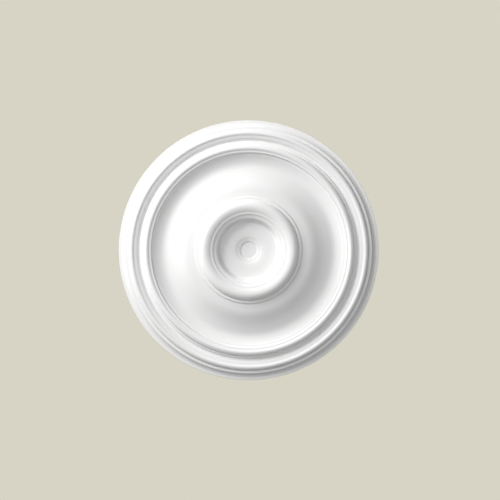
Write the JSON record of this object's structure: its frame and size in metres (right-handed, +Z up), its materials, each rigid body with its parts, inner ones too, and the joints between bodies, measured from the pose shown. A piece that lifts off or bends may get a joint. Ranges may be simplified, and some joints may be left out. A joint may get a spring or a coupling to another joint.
{
  "type": "ceiling rose",
  "caption": "Round white ceiling rose with plain turned mouldings, a broad ogee field, a raised boss ring and a dished middle, fixed flat to a ceiling.",
  "frame": {"origin": "middle of the flat back, where the rose meets the ceiling", "axes": "+Z up into the ceiling, along the rose's axis of turning; the face looks down, towards -Z; X and Y lie in the plane of the back"},
  "size_m": [0.4, 0.4, 0.0307],
  "materials": {
    "primed_casting": "smooth dense foam casting in white factory primer with a soft satin sheen"
  },
  "bodies": {
    "root": {"ceiling_rose": "primed_casting"}
  },
  "joints": []
}
